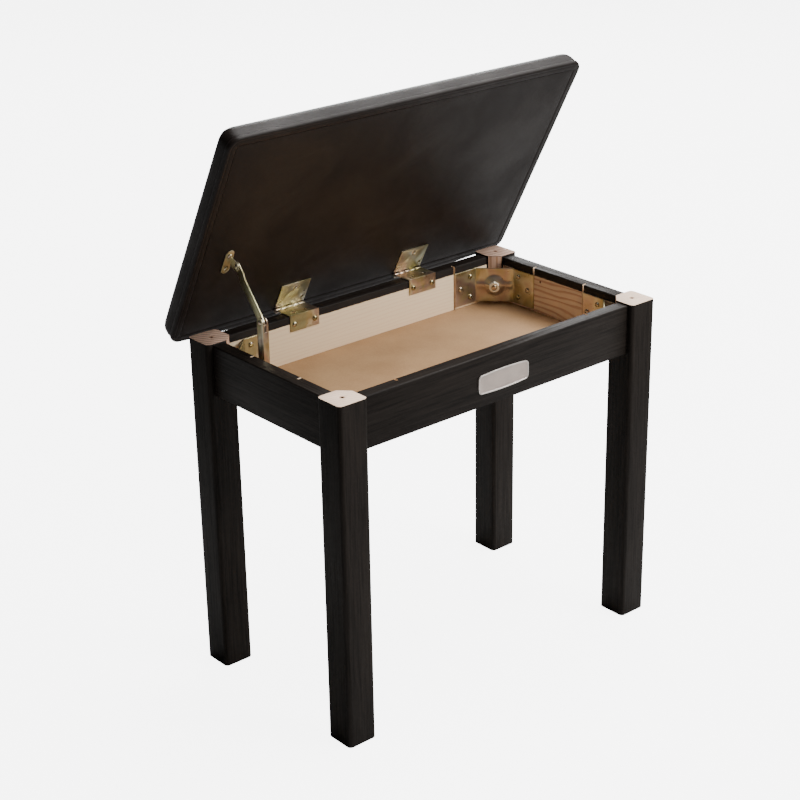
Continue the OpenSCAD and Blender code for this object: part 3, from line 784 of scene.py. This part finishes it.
def bracketPlan(depth):
    # the back right bracket: its saw cuts and bends, and the rails' faces less this depth
    low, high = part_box("corner_bracket_back_right")
    half = Vector.Fill(3, bracketLook["sheet"] / 2)
    kerf = low + half
    bend = kerf + Vector.Fill(3, bracketLook["flange"])
    rail = high - Vector.Fill(3, bracketLook["lip"] + depth)
    return low, high, kerf, bend, rail


def makeBracket():
    # lip, flange, pressed corner plate, flange, lip
    look = bracketLook
    low, high, kerf, bend, rail = bracketPlan(look["sheet"] / 2)
    corners = [Vector(c) for c in (
        (high.x, kerf.y, 0), (rail.x, kerf.y, 0), (rail.x, bend.y, 0),
        (bend.x, rail.y, 0), (kerf.x, rail.y, 0), (kerf.x, high.y, 0))]
    path = roundedPath(corners, [look["lipRadius"], look["bendRadius"],
                                 look["bendRadius"], look["lipRadius"]])
    middle = Vector(((rail.x + bend.x) / 2, (rail.y + bend.y) / 2, 0))
    along = Vector((bend.x - rail.x, rail.y - bend.y, 0))
    reach = along.length / 2
    along.normalize()
    inward = Vector((-1, -1, 0)).normalized()
    centreZ = (low.z + high.z) / 2

    def place(u, v):
        point = alongPath(path, u)
        point.z = low.z + (high.z - low.z) * v
        beside = abs((point - middle).dot(along))
        height = point.z - centreZ
        radius = math.hypot(beside, height) / look["domeRadius"]
        dome = look["domeRise"] * max(0, 1 - radius ** 2.4) ** 1.5 if radius < 1 else 0
        fade = 1 - min(max((beside - reach + look["ribFade"][0]) / sum(look["ribFade"]), 0), 1)
        rib = look["ribRise"] * math.exp(-(height / look["ribWidth"]) ** 2) * fade ** 2
        return point + inward * max(dome, rib + dome * 0.55)
    bracket = sheetPiece("bracketBackRight", *look["grid"], place)
    modify(bracket, "SOLIDIFY", thickness=look["sheet"], offset=0)
    modify(bracket, "BEVEL", width=look["arris"], segments=2, limit_method="ANGLE",
           angle_limit=math.radians(60))
    finishWith(bracket, zinc)
    smoothEdges(bracket, 50)
    return bracket


def mirrored(sideX, sideY):
    # the back right corner carried to another corner of the box
    return (Matrix.Translation((0, middleY, 0)) @ Matrix.Diagonal((sideX, sideY, 1, 1))
            @ Matrix.Translation((0, -middleY, 0)))


print("corner brackets")
bracketMaster = makeBracket()
for nodeName, pieceName, sideX, sideY in (
        ("corner_bracket_back_left", "bracketBackLeft", -1, 1),
        ("corner_bracket_front_left", "bracketFrontLeft", -1, -1),
        ("corner_bracket_front_right", "bracketFrontRight", 1, -1)):
    standFor(copyPiece(bracketMaster, pieceName, mirrored(sideX, sideY)), nodeName)
standFor(bracketMaster, "corner_bracket_back_right")

boltLook = {
    "radius": 4 * mm,
    "threadDepth": 0.45 * mm,
    "pitch": 1.25 * mm,
    "inBox": 13 * mm,
    "length": 59.5 * mm,
    "nutFlats": 13 * mm,
    "nutHeight": 6.5 * mm,
    "washerRadius": 6.1 * mm,
}


def makeBoltAndNut():
    # both are made along Z, with z = 0 on the corner plate, then carried to the corners
    look = boltLook
    steps = int(look["inBox"] / look["pitch"] * 4)
    tip = -look["inBox"]
    profile = [(0, tip), (look["radius"] * 0.55, tip), (look["radius"] * 0.84, tip + 0.5 * mm)]
    profile += [(look["radius"], tip + 1.1 * mm + i * look["pitch"] / 4) for i in range(steps)]
    end = tip + look["length"]
    profile += [(look["radius"] * 0.97, end - 1 * mm), (look["radius"] * 0.7, end), (0, end)]

    def thread(angle, radius, height):
        if radius < look["radius"] * 0.99:
            return radius, height
        turn = (height / look["pitch"] - angle / (2 * math.pi)) % 1
        return radius - look["threadDepth"] * abs(2 * turn - 1), height
    bolt = turnedPiece("legBolts", profile, 28, thread)
    finishWith(bolt, zincBright)
    smoothEdges(bolt, 50)

    top = -(bracketLook["domeRise"] + bracketLook["sheet"])
    low = top - look["nutHeight"]
    flats = look["nutFlats"] / 2

    def hexagon(angle, radius, height):
        toFlat = (angle % (math.pi / 3)) - math.pi / 6
        across = min(radius, flats / math.cos(toFlat)) if radius > flats * 0.99 else radius
        return across, height
    chamfer = 0.85 * mm
    corner = flats / math.cos(math.pi / 6)
    bore = look["radius"] * 0.93
    profile = [(bore, top), (look["washerRadius"], top), (flats, top - 0.05 * mm),
               (corner, top - chamfer), (corner, low + chamfer), (flats, low + 0.05 * mm),
               (look["washerRadius"], low), (bore + 0.5 * mm, low), (bore, low + 0.5 * mm),
               (bore, top)]
    nut = turnedPiece("legNuts", profile, 60, hexagon)
    finishWith(nut, satinPlate("pale zinc nut", (0.86, 0.80, 0.64), 0.24))
    smoothEdges(nut, 28)
    return bolt, nut


def carryToCorners(piece, name):
    low, high, _, bend, rail = bracketPlan(0)
    middle = Vector(((rail.x + bend.x) / 2, (rail.y + bend.y) / 2, (low.z + high.z) / 2))
    place = (Matrix.Translation(middle) @ Matrix.Rotation(math.radians(45), 4, "Z")
             @ Matrix.Rotation(math.radians(90), 4, "Y"))
    copies = [copyPiece(piece, name + str(i), mirrored(sideX, sideY) @ place)
              for i, (sideX, sideY) in enumerate(((1, 1), (-1, 1), (-1, -1), (1, -1)))]
    bpy.data.objects.remove(piece)
    return joinPieces(copies, name)


print("bolts and nuts")
boltMaster, nutMaster = makeBoltAndNut()
standFor(carryToCorners(boltMaster, "legBolts"), "leg_bolts")
standFor(carryToCorners(nutMaster, "legNuts"), "leg_nuts")

screwLook = {
    "shank": 1.75 * mm,
    "panRadius": 3.5 * mm,
    "panHeight": 2.2 * mm,
    "flatRadius": 3.1 * mm,
    "recessLength": 3.6 * mm,
    "recessWidth": 0.8 * mm,
    "recessDepth": 1.2 * mm,
    "length": 11 * mm,
    "point": 2 * mm,
    "firstTurn": 0.3,        # each screw stops at its own angle, in radians
    "turnStep": 0.7,
    "sink": 0.25 * mm,       # how far a flush head goes into the sheet
    "flushEdge": 0.07 * mm,  # a flush head's rim and middle stand this far out
    "flushRise": 0.09 * mm,
}


def makeScrew(name, pan):
    # z = 0 is the sheet's face; the head stands on it or lies flush in it
    look = screwLook
    if pan:
        r, h = look["panRadius"], look["panHeight"]
        head = [(r * 0.98, 0), (r, h * 0.18), (r * 0.97, h * 0.42), (r * 0.86, h * 0.68),
                (r * 0.66, h * 0.86), (r * 0.38, h * 0.97), (0, h)]
        top = h
    else:
        r = look["flatRadius"]
        top = look["flushRise"]
        head = [(r, -look["sink"]), (r, 0), (r * 0.95, look["flushEdge"]), (0, top)]
    tip = -look["length"]
    profile = [(0, tip), (look["shank"] * 0.5, tip + look["point"] * 0.4),
               (look["shank"], tip + look["point"]), (look["shank"], -look["sink"])] + head
    screw = turnedPiece(name, profile, 24)
    for turn in (0, 90):
        bpy.ops.mesh.primitive_cube_add(
            size=1, location=(0, 0, top), rotation=(0, 0, math.radians(turn)),
            scale=(look["recessLength"], look["recessWidth"], 2 * look["recessDepth"]))
        cutter = bpy.context.object
        modify(screw, "BOOLEAN", operation="DIFFERENCE", object=cutter, solver="EXACT")
        bpy.data.objects.remove(cutter)
    finishWith(screw, zincBright)
    smoothEdges(screw, 40)
    return screw


panScrew = makeScrew("panScrew", True)
flatScrew = makeScrew("flatScrew", False)


def placeScrews(nodeName, pieceName, shut=False, flatSide=1):
    look = screwLook
    copies = []
    for i, points in enumerate(islandsOf(nodeName, shut)):
        low = Vector([min(p[k] for p in points) for k in range(3)])
        high = Vector([max(p[k] for p in points) for k in range(3)])
        size = high - low
        axis = max(range(3), key=lambda k: size[k])
        centre = (low + high) / 2
        alongAxis = Vector([1 if k == axis else 0 for k in range(3)])
        wide = [p for p in points
                if (p - centre).cross(alongAxis).length > look["shank"] * 1.4]
        if wide:
            side = 1 if sum(p[axis] for p in wide) / len(wide) > centre[axis] else -1
            reach = size[axis] / 2 - look["panHeight"]
        else:
            side = flatSide
            reach = size[axis] / 2
        way = alongAxis * side
        place = (Matrix.Translation(centre + way * reach)
                 @ way.to_track_quat("Z", "Y").to_matrix().to_4x4()
                 @ Matrix.Rotation(i * look["turnStep"] + look["firstTurn"], 4, "Z"))
        copies.append(copyPiece(panScrew if wide else flatScrew, pieceName + str(i),
                                (swingOpen if shut else Matrix()) @ place))
    return standFor(joinPieces(copies, pieceName), nodeName)


print("screws")
for names in (("bracket_screws", "bracketScrews"), ("hinge_rail_screws", "hingeRailScrews"),
              ("hinge_lid_screws", "hingeLidScrews", True, -1),
              ("stay_base_screws", "stayBaseScrews"),
              ("stay_lid_screws", "stayLidScrews", True)):
    placeScrews(*names)
bpy.data.objects.remove(panScrew)
bpy.data.objects.remove(flatScrew)

for nodeName in ("floor_nails", "cover_staples"):
    finishWith(nodes[nodeName], steel)
finishWith(nodes["seat_board"], bareWood(
    "seat board", 0, (0.60, 0.43, 0.26), (0.45, 0.29, 0.16), 18, 3.0))

padLook = {
    "sideGap": 0.6 * mm,    # room left for the pad to swell
    "topGap": 1.5 * mm,
    "baseGap": 1.0 * mm,    # the skin lies this far over the border's face
    "cornerRadius": 16 * mm,
    "edgeRadius": 13 * mm,
    "crown": 6 * mm,
    "voxel": 5 * mm,
    "pressure": 4.0,
    "frames": 20,
    "mostSwell": 3.5 * mm,
    "heldHeight": 7 * mm,   # skin below this is stapled tight to the board
    "easeOff": 8 * mm,      # over this height the hold fades out
    "smoothFrom": 14 * mm,
    "underRadius": 1.5 * mm,
    "flatHeight": 1.6 * mm,  # skin below this is pulled flat on the board
    "backRoll": 7.6 * mm,   # slack cloth rolls over the lid's back edge
    "rollHeight": 12 * mm,
    "rollDepth": 5 * mm,
}


def backRoll(point, low, high):
    # how far the slack cloth stands out here, past the lid's back edge
    look = padLook
    half = (high.x - low.x) / 2
    window = 1 - min(abs(point.x - (low.x + high.x) / 2) / (half * 0.93), 1) ** 6
    lowPart = max(0, 1 - (point.z - low.z) / look["rollHeight"])
    nearBack = max(0, 1 - (high.y - point.y) / look["rollDepth"])
    return look["backRoll"] * window * lowPart * nearBack


def selectEdges(piece, test):
    pick(piece)
    bpy.ops.object.mode_set(mode="EDIT")
    bpy.ops.mesh.select_mode(type="EDGE")
    bpy.ops.mesh.select_all(action="DESELECT")
    mesh = bmesh.from_edit_mesh(piece.data)
    for edge in mesh.edges:
        edge.select_set(test(edge.verts[0].co, edge.verts[1].co))
    bmesh.update_edit_mesh(piece.data)


def blowUp(piece, look, floorHeight):
    # the pad presses its cover outward while the stapled rim stays put
    rest = [v.co.copy() for v in piece.data.vertices]
    facing = [v.normal.copy() for v in piece.data.vertices]
    held = piece.vertex_groups.new(name="stapled")
    for v in piece.data.vertices:
        grip = 1 - (v.co.z - floorHeight - look["heldHeight"]) / look["easeOff"]
        held.add([v.index], min(max(grip, 0.0), 1.0), "REPLACE")
    pick(piece)
    bpy.ops.object.modifier_add(type="CLOTH")
    cloth = piece.modifiers[-1]
    cloth.settings.use_pressure = True
    cloth.settings.uniform_pressure_force = look["pressure"]
    cloth.settings.effector_weights.gravity = 0
    cloth.settings.vertex_group_mass = "stapled"
    cloth.settings.tension_stiffness = 12
    cloth.settings.compression_stiffness = 12
    cloth.settings.bending_stiffness = 0.8
    cloth.settings.quality = 6
    cloth.point_cache.frame_end = look["frames"]
    scene = bpy.context.scene
    for number in range(1, look["frames"] + 1):
        scene.frame_set(number)
    pick(piece)
    bpy.ops.object.modifier_apply(modifier=cloth.name)
    scene.frame_set(1)
    for v, before, out in zip(piece.data.vertices, rest, facing):
        # never inward, where the board is, and never further than the cap
        move = v.co - before
        move -= out * min(move.dot(out), 0)
        if move.length > look["mostSwell"]:
            move = move.normalized() * look["mostSwell"]
        v.co = before + move
    piece.vertex_groups.clear()


def makeCushion():
    look = padLook
    low, high = shutBox("seat_cover")
    low = low + Vector((look["sideGap"], look["sideGap"], look["baseGap"]))
    high = high - Vector((look["sideGap"], look["sideGap"], look["topGap"]))
    bpy.ops.mesh.primitive_cube_add(size=1, location=(low + high) / 2, scale=high - low)
    cushion = bpy.context.object
    cushion.name = "seatCushion"
    settle(cushion)
    selectEdges(cushion, lambda a, b: abs(a.z - b.z) > 1 * mm)
    bpy.ops.mesh.bevel(offset=look["cornerRadius"], segments=6, affect="EDGES")
    selectEdges(cushion, lambda a, b: a.z > high.z - 1 * mm and b.z > high.z - 1 * mm)
    bpy.ops.mesh.bevel(offset=look["edgeRadius"], segments=6, affect="EDGES")
    selectEdges(cushion, lambda a, b: a.z < low.z + 1 * mm and b.z < low.z + 1 * mm)
    bpy.ops.mesh.bevel(offset=look["underRadius"], segments=2, affect="EDGES")
    bpy.ops.object.mode_set(mode="OBJECT")
    modify(cushion, "REMESH", mode="VOXEL", voxel_size=look["voxel"], use_smooth_shade=True)
    centre = (low + high) / 2
    half = (high - low) / 2
    for v in cushion.data.vertices:
        if v.co.z > centre.z:
            acrossX = 1 - min(abs((v.co.x - centre.x) / half.x), 1) ** 3
            acrossY = 1 - min(abs((v.co.y - centre.y) / half.y), 1) ** 3
            v.co.z += look["crown"] * acrossX * acrossY * (v.co.z - centre.z) / half.z
        v.co.y += backRoll(v.co, low, high)
    blowUp(cushion, look, low.z)
    upper = cushion.vertex_groups.new(name="upper")
    for v in cushion.data.vertices:
        share = (v.co.z - low.z - look["smoothFrom"]) / look["easeOff"]
        upper.add([v.index], min(max(share, 0), 1), "REPLACE")
    modify(cushion, "SMOOTH", factor=0.5, iterations=4, vertex_group="upper")
    cushion.vertex_groups.clear()
    for v in cushion.data.vertices:
        if v.co.z < low.z + look["flatHeight"]:
            v.co.z = low.z
    modify(cushion, "SUBSURF", levels=1, render_levels=1)
    finishWith(cushion, coverSkin)
    cushion.data.transform(swingOpen)
    smoothEdges(cushion, 60)
    return standFor(cushion, "seat_cover", "foam_pad")


print("cushion")
makeCushion()

borderLook = {
    "corner": 16 * mm,
    "pleat": 0.35 * mm,
    "pleats": 7,
    "points": 560,
    "wobble": 0.25 * mm,
    # distance in from the lid's outside, height over its underside
    "section": [(1.6, 7.0), (0.5, 6.0), (0.15, 4.2), (0.35, 2.2), (1.2, 0.7), (2.6, 0.12),
                (4.0, 0.05), (4.8, 0.5), (5.6, 0.05), (7.5, 0.0), (9.6, 0.0), (11.0, 0.1),
                (11.8, 0.5), (12.1, 1.3), (11.2, 2.0)],
}


def makeBorder():
    # the cover's edge: rolled under the lid, gathered at the corners and stapled
    look = borderLook
    low, high = shutBox("seat_cover")
    section = look["section"]

    def place(u, v):
        edge, out, inCorner = edgeAt(low, high, look["corner"], u)
        distance, height = section[round(v * (len(section) - 1))]
        point = edge - out * distance * mm
        point.z = low.z + height * mm
        if 0 < inCorner < 1 and 1 < distance < 11:
            fold = abs(math.sin(inCorner * math.pi * look["pleats"]))
            point.z -= look["pleat"] * (1 - fold) * math.sin(inCorner * math.pi)
        wobble = noise.noise(Vector((point.x * 30, point.y * 30, distance * 0.2)))
        point += out * wobble * look["wobble"]
        if out.y > 0.7:
            point.y += backRoll(point, low, high)
        return point
    border = sheetPiece("coverBorder", look["points"], len(section) - 1, place)
    modify(border, "SUBSURF", levels=1, render_levels=1)
    finishWith(border, coverSkin)
    border.data.transform(swingOpen)
    smoothEdges(border, 75)
    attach(border, bodyOf["seat_cover"])


print("cover border")
makeBorder()

linerLook = {
    "grid": 4 * mm,
    "thick": 0.9 * mm,
    "sag": 0.9 * mm,
    "edgeTurn": (5 * mm, 0.35 * mm),   # the edge turns in over this width, by this much
    "sagStart": 8 * mm,                # the cloth lies tight nearer to its edge
    "sagFade": 50 * mm,
    "leafFade": 30 * mm,               # and round the hinge leaves
}


def makeLiner():
    look = linerLook
    low, high = shutBox("underside_cover")
    size = high - low
    centre = (low + high) / 2
    columns = int(size.x / look["grid"])
    rows = int(size.y / look["grid"])
    bpy.ops.mesh.primitive_grid_add(x_subdivisions=columns, y_subdivisions=rows, size=1,
                                    location=(centre.x, centre.y, low.z))
    liner = bpy.context.object
    liner.name = "lidLiner"
    liner.scale = (size.x, size.y, 1)
    settle(liner)
    leafFront = shutBox("upper_hinge_leaf_left")[0].y
    turnWidth, turnRise = look["edgeTurn"]
    for v in liner.data.vertices:
        toEdge = min(v.co.x - low.x, high.x - v.co.x, v.co.y - low.y, high.y - v.co.y)
        turnedIn = min(max(toEdge / turnWidth, 0), 1)
        clear = min(max((toEdge - look["sagStart"]) / look["sagFade"], 0), 1)
        beyondLeaf = min(max((leafFront - v.co.y) / look["leafFade"], 0), 1)
        ripple = noise.noise(Vector((v.co.x * 7, v.co.y * 10, 0.3)))
        ripple += 0.35 * noise.noise(Vector((v.co.x * 19 + 3, v.co.y * 23, 1.7)))
        v.co.z += turnRise * (1 - turnedIn) + look["sag"] * clear * beyondLeaf * ripple
    modify(liner, "SOLIDIFY", thickness=look["thick"], offset=1)
    finishWith(liner, linerSkin)
    liner.data.transform(swingOpen)
    smoothEdges(liner, 60)
    return standFor(liner, "underside_cover")


print("lid liner")
makeLiner()

print("stage")
viewLook = {
    "place": (-1.39421, -1.59775, 1.24000),  # from the middle of the legs, on the floor
    "turn": -40.1895,
    "down": 23.2228,
    "roll": -0.998,
    "lens": 83.25,
}


def makeCamera():
    look = viewLook
    turn = math.radians(look["turn"])
    down = math.radians(look["down"])
    back = Vector((math.sin(turn) * math.cos(down), -math.cos(turn) * math.cos(down),
                   math.sin(down)))
    right = (-back).cross(Vector((0, 0, 1))).normalized()
    up = right.cross(-back)
    roll = math.radians(look["roll"])
    tiltedRight = right * math.cos(roll) + up * math.sin(roll)
    tiltedUp = up * math.cos(roll) - right * math.sin(roll)
    bpy.ops.object.camera_add()
    camera = bpy.context.object
    camera.matrix_world = (Matrix.Translation(Vector(look["place"]) + Vector((0, middleY, 0)))
                           @ Matrix((tiltedRight, tiltedUp, back)).transposed().to_4x4())
    camera.data.lens = look["lens"]
    camera.data.sensor_width = 36
    camera.data.clip_end = 50
    bpy.context.scene.camera = camera


def addLight(name, place, target, size, power):
    bpy.ops.object.light_add(type="AREA", location=place)
    lamp = bpy.context.object
    lamp.name = name
    lamp.data.size = size
    lamp.data.energy = power
    lamp.visible_camera = False
    lamp.rotation_euler = (Vector(place) - Vector(target)).to_track_quat("Z", "Y").to_euler()


stageLook = {
    "floorSize": 14,
    "floorGrey": 0.46,
    "aim": (0, 0, 0.35),   # the lamps point at the middle of the bench
    "fill": 0.09,
    "backdrop": 9.0,
    "floorGlow": 6.0,
    # name, place, size, power
    "lamps": (("topSoftbox", (1.3, -0.1, 3.3), 2.6, 215),
              ("frontSoftbox", (1.6, -2.7, 2.4), 1.4, 122),
              ("rightSoftbox", (2.8, 0.2, 2.4), 1.2, 16),
              ("rearSoftbox", (2.3, 2.6, 1.8), 1.6, 70)),
}


def makeStage():
    look = stageLook
    bpy.ops.mesh.primitive_plane_add(size=look["floorSize"], location=(0, 0, 0))
    floor = bpy.context.object
    floor.name = "studioFloor"
    material, tree, shader = newMaterial("pale floor")
    coat(tree, shader, colour=(look["floorGrey"],) * 3, rough=1.0, shine=0.1)
    shader.inputs["Emission Color"].default_value = (1, 1, 1, 1)
    inView = addNode(tree, "LightPath")
    tree.links.new(spread(tree, inView.outputs["Is Camera Ray"], 0, look["floorGlow"]),
                   shader.inputs["Emission Strength"])
    finishWith(floor, material)
    world = bpy.data.worlds.new("studio")
    world.use_nodes = True
    sky = world.node_tree
    backdrop = sky.nodes["Background"]
    backdrop.inputs["Color"].default_value = (1, 1, 1, 1)
    inView = addNode(sky, "LightPath")
    sky.links.new(spread(sky, inView.outputs["Is Camera Ray"], look["fill"], look["backdrop"]),
                  backdrop.inputs["Strength"])
    bpy.context.scene.world = world
    for name, place, size, power in look["lamps"]:
        addLight(name, place, look["aim"], size, power)


makeCamera()
makeStage()
